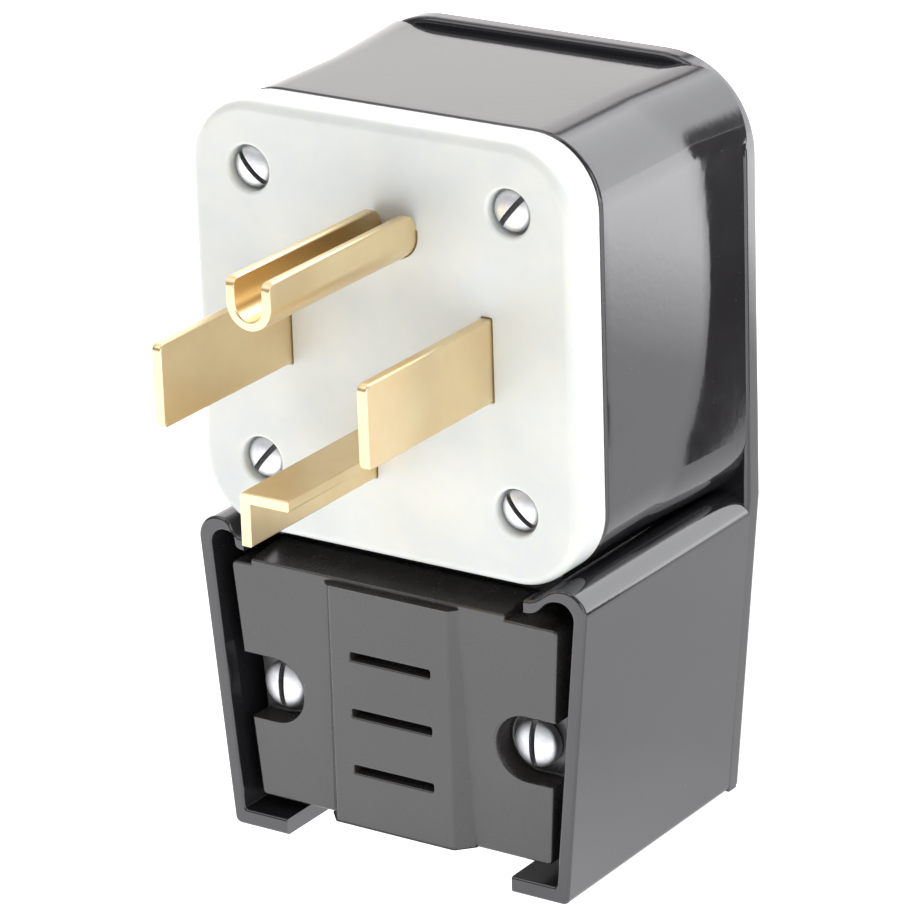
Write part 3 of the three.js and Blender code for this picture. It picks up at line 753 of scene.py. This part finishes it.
def make_blades():
    end = TAB_FRONT + TAB_T
    for side, word in ((-1, "left"), (1, "right")):
        x = side * HOT_X + HOT_OFFSET
        outline = soft_polygon([(BLADE_TIP, HOT_LOW, TIP_ROUND), (end, HOT_LOW, 0), (end, HOT_HIGH, 0),
                                (BLADE_TIP, HOT_HIGH, TIP_ROUND)])
        strip = slab(outline, x - BLADE_T / 2, x + BLADE_T / 2, BLADE_EDGE, BLADE_EDGE, along="x")
        spot = (side * (HOT_X + (TAB_SIZE - BLADE_T) / 2) + HOT_OFFSET, (HOT_LOW + HOT_HIGH) / 2)
        make_blade(strip, hot_outline(side, COLLAR_GROW), spot, f"flat_blade_{word}", f"hot_blade_{word}")

    strip = slab(neutral_outline(0), BLADE_TIP, end, LEDGE_EDGE)
    spot = (NEUTRAL_X + BLADE_T + TAB_SIZE / 2 - 1, NEUTRAL_LOW)
    make_blade(strip, neutral_outline(COLLAR_GROW), spot, "angle_blade", "neutral_blade")

    strip = slab(ground_outline(0), GROUND_TIP, end, BLADE_EDGE)
    # the legs step down just in front of the face, and their tips are rounded
    top, low, end = GROUND_HIGH + PAST, GROUND_HIGH - GROUND_STEP, FACE_T + GAP
    step = arc(-GROUND_STEP, low, GROUND_STEP, 0, 90, 8) + [(-GROUND_STEP, top), (end, top), (end, low)]
    front, low, end = GROUND_TIP + LEG_ROUND, GROUND_HIGH - LEG_ROUND, GROUND_TIP - PAST
    tip = arc(front, low, LEG_ROUND, 180, 90, 8) + [(front, top), (end, top), (end, low)]
    reach = GROUND_R + PAST
    for profile in (step, tip):
        cut(strip, slab(profile[::-1], GROUND_X - reach, GROUND_X + reach, along="x"))
    spot = (GROUND_X, GROUND_HIGH + TERMINAL_SCREW_R + 0.5)
    make_blade(strip, ground_outline(COLLAR_GROW), spot, "u_blade", "ground_blade")


# ---------------------------------------------------------------- cord clamp
def leaning(z):
    """How far the clamp's front has come forward at a height."""
    return CLAMP_LEAN * (z - CLAMP_BOTTOM) / (CLAMP_TOP - CLAMP_BOTTOM)


def make_clamp():
    foot = CLAMP_HALF_BOTTOM
    wings = slab(soft_polygon([(-foot, CLAMP_BOTTOM, 0.6), (foot, CLAMP_BOTTOM, 0.6),
                               (CLAMP_HALF_TOP, CLAMP_TOP, 0.8), (-CLAMP_HALF_TOP, CLAMP_TOP, 0.8)], 4),
                 CLAMP_FRONT, CLAMP_WING_BACK, 0.35, 0.4)
    top = CLAMP_FRONT - CLAMP_LEAN
    rise = soft_polygon([(top + GAP, CLAMP_TOP - PAST, 0), (CLAMP_WING_BACK, CLAMP_TOP - PAST, 0),
                         (CLAMP_WING_BACK, RIDGE_TOP, 0.4), (RIDGE_LEVEL, RIDGE_TOP, 1.5),
                         (top, RIDGE_FRONT_Z, 0.3), (top, CLAMP_TOP - GAP, 0)], 4)
    ridge = slab(rise, *RIDGE, 0.3, 0.3, along="x")
    for vertex in wings.data.vertices:
        if vertex.co.y < CLAMP_FRONT + PAST:
            vertex.co.y -= leaning(vertex.co.z)
    core = slab(soft_rect(-CLAMP_CORE_HALF, CLAMP_CORE_HALF, CLAMP_BOTTOM, CLAMP_TOP, 0.5, 4),
                CLAMP_FRONT + PAST, CLAMP_BACK, 0, 0.5)
    raised = soft_polygon([
        (-PANEL_HALF - PANEL_BEVEL, CLAMP_FRONT + PAST, 0), (-PANEL_HALF - PANEL_BEVEL, CLAMP_FRONT, 0),
        (-PANEL_HALF, PANEL_FRONT, 0.5), (PANEL_HALF, PANEL_FRONT, 0.5),
        (PANEL_HALF + PANEL_BEVEL, CLAMP_FRONT, 0), (PANEL_HALF + PANEL_BEVEL, CLAMP_FRONT + PAST, 0),
    ][::-1], 4)
    panel = slab(raised, CLAMP_BOTTOM, CLAMP_TOP, 0.2, 0.3, along="z")
    body = add(wings, core, panel, ridge)
    cut(body, cord_channel(CLAMP_BACK + CORD_R - CLAMP_CHANNEL))
    for z in SLOT_Z:
        cut(body, pocket(soft_rect(-SLOT_HALF, SLOT_HALF, z - SLOT_H / 2, z + SLOT_H / 2, 0.25, 3),
                         PANEL_FRONT, PANEL_FRONT + SLOT_DEPTH, mouth=0.3, floor=0.1))
    for x, z in clamp_places():
        side = math.copysign(1, x)
        outer = side * (CLAMP_HALF_TOP + 2 * PAST)
        reach = arc(x, z, CLAMP_SINK_R, 90, 270, 20) if side > 0 else arc(x, z, CLAMP_SINK_R, -90, 90, 20)
        ends = [(outer, z - CLAMP_SINK_R), (outer, z + CLAMP_SINK_R)]
        bay = reach + (ends if side > 0 else ends[::-1])
        floor = CLAMP_FRONT + CLAMP_SINK
        cut(body, pocket(bay, CLAMP_FRONT - leaning(z), floor, mouth=0.35, floor=0.4),
            pocket(circle(x, z, CLAMP_SCREW_R + GAP, 28), floor - PAST, CLAMP_WING_BACK + PAST))
    return finished(body, "clamp_cover", CLAMP_BLACK, rides="clamp", stands_for="cord_clamp")


# ---------------------------------------------------------------- fasteners, by geometry nodes
def open_tree(name, sockets):
    """An empty geometry tree with named inputs, and its group input node."""
    tree = bpy.data.node_groups.new(name, "GeometryNodeTree")
    for label, kind, value in sockets:
        socket = tree.interface.new_socket(label, in_out="INPUT", socket_type=kind)
        if value is not None:
            socket.default_value = value
    tree.interface.new_socket("Geometry", in_out="OUTPUT", socket_type="NodeSocketGeometry")
    return tree, tree.nodes.new("NodeGroupInput").outputs


def parts_of(tree, vector):
    return add_node(tree, "ShaderNodeSeparateXYZ", Vector=vector).outputs


def vector_of(tree, x, y, z):
    return add_node(tree, "ShaderNodeCombineXYZ", X=x, Y=y, Z=z).outputs["Vector"]


def ridge(tree, turns):
    """A symmetrical ridge of height 1 that repeats once for each whole turn."""
    saw = calc(tree, "FRACT", turns)
    return calc(tree, "ABSOLUTE", calc(tree, "SUBTRACT", calc(tree, "MULTIPLY", saw, 2.0), 1.0))


def moved_to(tree, geometry, position):
    return add_node(tree, "GeometryNodeSetPosition", Geometry=geometry, Position=position).outputs[0]


def merged(tree, operation, first, second):
    """Union of two bodies, or the first with the second taken away."""
    node = add_node(tree, "GeometryNodeMeshBoolean", {"operation": operation, "solver": "MANIFOLD"})
    tree.links.new(first, node.inputs["Mesh 2" if operation == "UNION" else "Mesh 1"])
    tree.links.new(second, node.inputs["Mesh 2"])
    return node.outputs["Mesh"]


def placed_and_closed(tree, geometry, given):
    """Turns the piece over if asked, puts it in its place in metres, realizes it and gives it its finish.

    Only what was cut out by the slot tool keeps the tool's painted slot shade.
    """
    turn = vector_of(tree, given["Turn"], 0.0, 0.0)
    place = add_node(tree, "GeometryNodeTransform", Geometry=geometry, Translation=given["Place"],
                     Rotation=turn, Scale=(MM, MM, MM)).outputs[0]
    real = add_node(tree, "GeometryNodeRealizeInstances", Geometry=place).outputs[0]
    # faces cut by the slot keep their painted shade; the rest get the given finish
    in_slot_shade = add_node(tree, "GeometryNodeMaterialSelection", Material=SLOT_SHADE).outputs[0]
    bare = add_node(tree, "FunctionNodeBooleanMath", {"operation": "NOT"}, _0=in_slot_shade).outputs[0]
    plated = add_node(tree, "GeometryNodeSetMaterial", Geometry=real, Selection=bare,
                      Material=given["Material"]).outputs[0]
    tree.links.new(plated, tree.nodes.new("NodeGroupOutput").inputs["Geometry"])


COMMON_SOCKETS = [("Turn", "NodeSocketFloat", 0.0), ("Place", "NodeSocketVector", (0, 0, 0)),
                  ("Material", "NodeSocketMaterial", None)]


def threaded_rod(tree, radius, length, pitch, depth, segments):
    """A rod along +Y with a helical thread, thinner towards its end."""
    rod = add_node(tree, "GeometryNodeMeshCylinder", Vertices=28, Side_Segments=segments, Radius=1.0,
                   Depth=1.0)
    across, up, along = parts_of(tree, tree_position(tree))
    reach = calc(tree, "MULTIPLY", calc(tree, "ADD", along, 0.5), length)
    angle = calc(tree, "DIVIDE", calc(tree, "ARCTAN2", up, across), 2 * math.pi)
    crest = ridge(tree, calc(tree, "SUBTRACT", calc(tree, "DIVIDE", reach, pitch), angle))
    groove = calc(tree, "MULTIPLY", calc(tree, "SUBTRACT", 1.0, crest), depth)
    left = calc(tree, "DIVIDE", calc(tree, "SUBTRACT", length, reach), calc(tree, "MULTIPLY", radius, 0.6))
    point = calc(tree, "MULTIPLY", calc(tree, "SUBTRACT", 1.0, calc(tree, "MINIMUM", left, 1.0)), 0.5)
    full = calc(tree, "SUBTRACT", calc(tree, "SUBTRACT", radius, groove),
                calc(tree, "MULTIPLY", radius, point))
    place = vector_of(tree, calc(tree, "MULTIPLY", across, full), reach,
                      calc(tree, "MULTIPLY", up, calc(tree, "MULTIPLY", full, -1.0)))
    return moved_to(tree, rod.outputs["Mesh"], place)


def tree_position(tree):
    return add_node(tree, "GeometryNodeInputPosition").outputs["Position"]


def screw_tree():
    """Slotted round-head screw along +Y, the top of its head at 0."""
    number = "NodeSocketFloat"
    tree, given = open_tree("slotted_screw", [
        ("Head radius", number, 3.0), ("Head height", number, 2.0), ("Crown", number, 1.2),
        ("Thread radius", number, 2.0), ("Length", number, 20.0), ("Pitch", number, 0.8),
        ("Thread depth", number, 0.2), ("Thread segments", "NodeSocketInt", 150),
        ("Slot width", number, 0.9), ("Slot depth", number, 1.2), ("Slot angle", number, 0.0),
        *COMMON_SOCKETS,
    ])
    ball = add_node(tree, "GeometryNodeMeshUVSphere", Segments=64, Rings=36, Radius=1.0).outputs["Mesh"]
    across, up, along = parts_of(tree, tree_position(tree))
    crown = calc(tree, "MULTIPLY", calc(tree, "ADD", along, 1.0), given["Crown"])
    behind = calc(tree, "GREATER_THAN", along, 0.001)
    depth = add_node(tree, "ShaderNodeMix", _0=behind, _2=crown, _3=given["Head height"]).outputs[0]
    place = vector_of(tree, calc(tree, "MULTIPLY", across, given["Head radius"]), depth,
                      calc(tree, "MULTIPLY", up, calc(tree, "MULTIPLY", given["Head radius"], -1.0)))
    head = moved_to(tree, ball, place)

    slot_size = vector_of(tree, calc(tree, "MULTIPLY", given["Head radius"], 3.0),
                          calc(tree, "MULTIPLY", given["Slot depth"], 2.0), given["Slot width"])
    cube = add_node(tree, "GeometryNodeMeshCube", Size=slot_size).outputs["Mesh"]
    # the slot tool carries the painted slot shade onto the faces it cuts
    slot = add_node(tree, "GeometryNodeSetMaterial", Geometry=cube, Material=SLOT_SHADE).outputs[0]
    turned = add_node(tree, "GeometryNodeTransform", Geometry=slot,
                      Rotation=vector_of(tree, 0.0, given["Slot angle"], 0.0)).outputs[0]

    start = calc(tree, "SUBTRACT", given["Head height"], 0.4)
    shank_length = calc(tree, "SUBTRACT", given["Length"], start)
    rod = threaded_rod(tree, given["Thread radius"], shank_length, given["Pitch"], given["Thread depth"],
                       given["Thread segments"])
    shank = add_node(tree, "GeometryNodeTransform", Geometry=rod,
                     Translation=vector_of(tree, 0.0, start, 0.0)).outputs[0]
    whole = merged(tree, "DIFFERENCE", merged(tree, "UNION", head, shank), turned)
    placed_and_closed(tree, whole, given)
    return tree


def insert_tree():
    """Brass sleeve along +Y with a diamond knurl outside and a plain bore."""
    number = "NodeSocketFloat"
    tree, given = open_tree("knurled_insert", [
        ("Radius", number, 3.0), ("Bore", number, 2.0), ("Length", number, 10.0),
        ("Knurl depth", number, 0.12), ("Knurls", number, 18.0), *COMMON_SOCKETS,
    ])
    rod = add_node(tree, "GeometryNodeMeshCylinder", Vertices=90, Side_Segments=44, Radius=1.0, Depth=1.0)
    across, up, along = parts_of(tree, tree_position(tree))
    reach = calc(tree, "MULTIPLY", calc(tree, "ADD", along, 0.5), given["Length"])
    round_share = calc(tree, "DIVIDE", calc(tree, "ARCTAN2", up, across), 2 * math.pi)
    turns = calc(tree, "MULTIPLY", round_share, given["Knurls"])
    lean = calc(tree, "MULTIPLY", reach, 0.9)
    one = ridge(tree, calc(tree, "ADD", turns, lean))
    other = ridge(tree, calc(tree, "SUBTRACT", turns, lean))
    groove = calc(tree, "MULTIPLY", calc(tree, "MAXIMUM", one, other), given["Knurl depth"])
    full = calc(tree, "SUBTRACT", given["Radius"], groove)
    place = vector_of(tree, calc(tree, "MULTIPLY", across, full), reach,
                      calc(tree, "MULTIPLY", up, calc(tree, "MULTIPLY", full, -1.0)))
    sleeve = moved_to(tree, rod.outputs["Mesh"], place)
    bore = add_node(tree, "GeometryNodeMeshCylinder", Vertices=40, Radius=given["Bore"],
                    Depth=calc(tree, "MULTIPLY", given["Length"], 4.0)).outputs["Mesh"]
    laid = add_node(tree, "GeometryNodeTransform", Geometry=bore, Rotation=(math.pi / 2, 0, 0)).outputs[0]
    placed_and_closed(tree, merged(tree, "DIFFERENCE", sleeve, laid), given)
    return tree


def grown_from(tree, name, values, *, rides, stands_for, angle=38):
    """One plain mesh piece from a geometry tree and its named input values."""
    body = bpy.data.objects.new(name, bpy.data.meshes.new(name))
    bpy.context.scene.collection.objects.link(body)
    maker = body.modifiers.new("maker", "NODES")
    maker.node_group = tree
    sockets = {item.name: item.identifier for item in tree.interface.items_tree if item.in_out == "INPUT"}
    for label, value in values.items():
        maker[sockets[label]] = value
    settle(body)
    body.data.name = name
    shade(body, angle)
    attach(body, rides)
    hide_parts(stands_for)
    return body


def in_place(x, y, z):
    """A point of the plug's own frame, in metres in the shared frame."""
    return tuple(DATUM + Vector((x, y, z)) * MM)


def put_screw(tree, node, middle, slot_name, turned=False, **sizes):
    """The screw that stands for a packed one; a turned one has its head at the back."""
    low, high = extent(node)
    values = {"Head radius": (high.x - low.x) / 2, "Length": high.y - low.y, "Pitch": PITCH, "Material": ZINC}
    values |= {label.replace("_", " "): value for label, value in sizes.items()}
    values["Place"] = in_place(middle[0], high.y if turned else low.y, middle[1])
    if turned:
        values["Turn"] = math.pi
    grown_from(tree, f"slotted_{node}", values, rides=f"{node}_body", stands_for=node)


def put_insert(tree, node, middle, screw_radius):
    low, high = extent(node)
    grown_from(tree, f"knurled_{node}", {
        "Radius": (high.x - low.x) / 2, "Bore": screw_radius + INSERT_GAP, "Length": high.y - low.y,
        "Place": in_place(middle[0], low.y, middle[1]), "Material": INSERT_BRASS,
    }, rides="shell", stands_for=node)


def make_fasteners():
    screw, insert = screw_tree(), insert_tree()
    corners = [f"{row}_{side}" for row in ("bottom", "top") for side in ("left", "right")]
    for corner, middle in zip(corners, screw_places()):
        put_screw(screw, f"face_screw_{corner}", middle, "screw_zinc", Head_radius=FACE_HEAD_R,
                  Head_height=1.8, Crown=1.15, Thread_radius=FACE_SCREW_R, Thread_depth=0.24,
                  Thread_segments=190, Slot_width=0.75, Slot_depth=1.05, Slot_angle=FACE_SLOTS[corner])
        put_insert(insert, f"face_insert_{corner}", middle, FACE_SCREW_R)
    for side, middle in zip(("left", "right"), clamp_places()):
        put_screw(screw, f"clamp_screw_{side}", middle, "screw_zinc", Head_height=2.3, Crown=1.3,
                  Thread_radius=CLAMP_SCREW_R, Thread_depth=0.26, Thread_segments=220, Slot_width=0.85,
                  Slot_depth=1.2, Slot_angle=math.pi / 2)
        put_insert(insert, f"clamp_insert_{side}", middle, CLAMP_SCREW_R)
    for blade, angle in TERMINAL_SLOTS.items():
        low, high = extent(f"terminal_screw_{blade}")
        middle = (low.x + high.x) / 2, (low.z + high.z) / 2
        put_screw(screw, f"terminal_screw_{blade}", middle, "terminal_zinc", turned=True, Head_height=2.6,
                  Crown=1.0, Thread_radius=TERMINAL_SCREW_R, Thread_depth=0.26, Thread_segments=70,
                  Slot_width=1.1, Slot_depth=1.4, Slot_angle=angle)
        make_pressure_plate(blade)


def make_pressure_plate(blade):
    """Square washer under a terminal screw, its corners turned down a little by a rounded edge."""
    node = f"terminal_plate_{blade}"
    low, high = extent(node)
    x, z = (low.x + high.x) / 2, (low.z + high.z) / 2
    body = slab(soft_rect(low.x, high.x, low.z, high.z, 0.9, 5), low.y, high.y, PLATE_EDGE, 0.35)
    cut(body, pocket(circle(x, z, TERMINAL_SCREW_R + GAP, 28), low.y, high.y + PAST, mouth=HOLE_EDGE))
    finished(body, f"pressed_{node}", ZINC, rides=f"{node}_body", stands_for=node)


# ---------------------------------------------------------------- studio
AZIMUTH = 33.91
ELEVATION = 20.73
ROLL = -1.858
DISTANCE = 658.755
TARGET = (10.762, 0, 16.359)
LENS = 204.27

FLOOR_HALF = 6.0
FLOOR_SHADE = (0.1, 0.12, 0)             # middle of the painted shadow of the plug: the dimmer patch of the glowing floor
FLOOR_SPREAD = (0.1, 0.18)               # distances from it over which the glow rises
FLOOR_GLOW = (0.98, 1.75)
REAR_GLOW = 2.0                          # extra glow of the floor behind the plug
REAR_SPREAD = (0.18, 0.235)
# corners of a dark sheet, seen only in reflections, that stands in for the plug's shadow on the floor
FLAG = ((0.12, 0.136), (0.165, 0.115), (5.8, 1.9), (4.1, 4.4), (0.27, 0.3),
        (0.175, 0.195), (0.16, 0.172), (0.142, 0.16), (0.128, 0.149))
FLAG_LIFT = 0.001
WORLD_FRONT = 0.28
PANEL_LEFT = 1.65                        # the bright panels behind the plug, and the gap between them
PANEL_RIGHT = 3.2
PANEL_GAP = -0.255
PANEL_END = 0.65
PANEL_TINT = (1.0, 0.965, 0.955, 1)
CARD_AIM = (0, 0, 0.05)


def directions(azimuth, elevation):
    """Right, up and backward directions of a camera at an azimuth and elevation in degrees."""
    a, e = math.radians(azimuth), math.radians(elevation)
    right = Vector((math.cos(a), math.sin(a), 0))
    back = Vector((math.sin(a) * math.cos(e), -math.cos(a) * math.cos(e), math.sin(e)))
    return right, back.cross(right), back


def make_camera():
    right, up, back = directions(AZIMUTH, ELEVATION)
    tilt = math.radians(ROLL)
    across = right * math.cos(tilt) + up * math.sin(tilt)
    above = up * math.cos(tilt) - right * math.sin(tilt)
    place = DATUM + (Vector(TARGET) + back * DISTANCE) * MM
    data = bpy.data.cameras.new("camera")
    data.lens = LENS
    data.sensor_width = 36
    data.clip_start = 0.01
    camera = bpy.data.objects.new("camera", data)
    camera.matrix_world = Matrix.Translation(place) @ Matrix((across, above, back)).transposed().to_4x4()
    bpy.context.scene.collection.objects.link(camera)
    bpy.context.scene.camera = camera


def make_card(name, azimuth, elevation, distance, width, height, strength):
    """A soft box that looks at the plug from a direction."""
    right, up, back = directions(azimuth, elevation)
    data = bpy.data.lights.new(name, "AREA")
    data.shape = "RECTANGLE"
    data.size = width
    data.size_y = height
    data.energy = strength
    lamp = bpy.data.objects.new(name, data)
    place = Vector(CARD_AIM) + back * distance
    lamp.matrix_world = Matrix.Translation(place) @ Matrix((right, up, back)).transposed().to_4x4()
    bpy.context.scene.collection.objects.link(lamp)


def make_flag():
    """Black sheet lying beyond the plug's right side, seen only in reflections: painted shade standing in for
    the plug's shadow on the floor, which darkens what the swept wall mirrors.
    """
    mesh = bpy.data.meshes.new("flag")
    mesh.from_pydata([(*corner, FLAG_LIFT) for corner in FLAG], [], [tuple(range(len(FLAG)))])
    flag = bpy.data.objects.new("flag", mesh)
    bpy.context.scene.collection.objects.link(flag)
    material, tree, shader = new_material("reflected_shadow_card")
    nap = noise(tree, place_of(tree), 0.2, 3)
    tint = blended(tree, nap, (0.01, 0.01, 0.01, 1), (0.02, 0.02, 0.02, 1))
    coated(tree, shader, Base_Color=tint, Roughness=0.9)
    mesh.materials.append(material)
    flag.visible_camera = False
    flag.visible_shadow = False
    flag.visible_diffuse = False


def make_floor():
    """Sweep under the plug that glows as painted light, with a painted shadow of the plug as a dimmer patch
    near it and a stronger glow behind it.
    """
    mesh = bpy.data.meshes.new("floor")
    half = FLOOR_HALF
    corners = [(-half, -half, 0), (half, -half, 0), (half, half, 0), (-half, half, 0)]
    mesh.from_pydata(corners, [], [(0, 1, 2, 3)])
    floor = bpy.data.objects.new("floor", mesh)
    bpy.context.scene.collection.objects.link(floor)
    material, tree, shader = new_material("glowing_paper")
    grain = noise(tree, place_of(tree), 0.02, 3)
    tint = blended(tree, grain, (0.2, 0.2, 0.2, 1), (0.22, 0.22, 0.22, 1))
    source = add_node(tree, "ShaderNodeTexCoord").outputs["Object"]
    # painted shadow: the floor's glow dims in a patch beside the plug
    away = add_node(tree, "ShaderNodeVectorMath", {"operation": "DISTANCE"}, _0=source, _1=FLOOR_SHADE)
    near = ranged(tree, away.outputs["Value"], *FLOOR_SPREAD, *FLOOR_GLOW)
    rear = ranged(tree, parts_of(tree, source)["Y"], *REAR_SPREAD, 0, REAR_GLOW)
    coated(tree, shader, Base_Color=tint, Roughness=0.9, Specular_IOR_Level=0.1, Emission_Color=(1, 1, 1, 1),
           Emission_Strength=calc(tree, "ADD", near, rear))
    mesh.materials.append(material)


def make_world():
    """Soft surrounding light: dim in front, two bright panels behind with a dark gap between them."""
    world = bpy.data.worlds.new("studio")
    bpy.context.scene.world = world
    world.use_nodes = True
    tree = world.node_tree
    heading = add_node(tree, "ShaderNodeTexCoord").outputs["Generated"]
    across, along = parts_of(tree, heading)[:2]
    behind = ranged(tree, along, -0.3, 0.6, 0, 1)
    panels = ranged(tree, across, PANEL_GAP, PANEL_GAP + 0.2, PANEL_LEFT, PANEL_RIGHT)
    gap = ranged(tree, calc(tree, "ABSOLUTE", calc(tree, "SUBTRACT", across, PANEL_GAP)), 0.01, 0.07, 0.2, 1)
    end = ranged(tree, across, PANEL_END, PANEL_END + 0.05, 1, 0.03)
    bright = calc(tree, "MULTIPLY", calc(tree, "MULTIPLY", panels, gap), end)
    level = calc(tree, "ADD", calc(tree, "MULTIPLY", bright, behind), WORLD_FRONT)
    background = tree.nodes["Background"]
    tint = blended(tree, ranged(tree, across, PANEL_GAP, PANEL_GAP + 0.1, 0, 1), PANEL_TINT, (1, 1, 1, 1))
    connect(tree, background.inputs["Color"], tint)
    connect(tree, background.inputs["Strength"], level)


bpy.context.scene.view_settings.view_transform = "Standard"

make_housing()
make_face_plate()
make_retainer()
make_blades()
make_clamp()
make_fasteners()

make_floor()
make_world()
make_card("key", -35, 55, 0.9, 0.6, 0.6, 2)
make_card("fill", 62, 18, 0.4, 0.25, 0.25, 0.45)
make_flag()
make_camera()
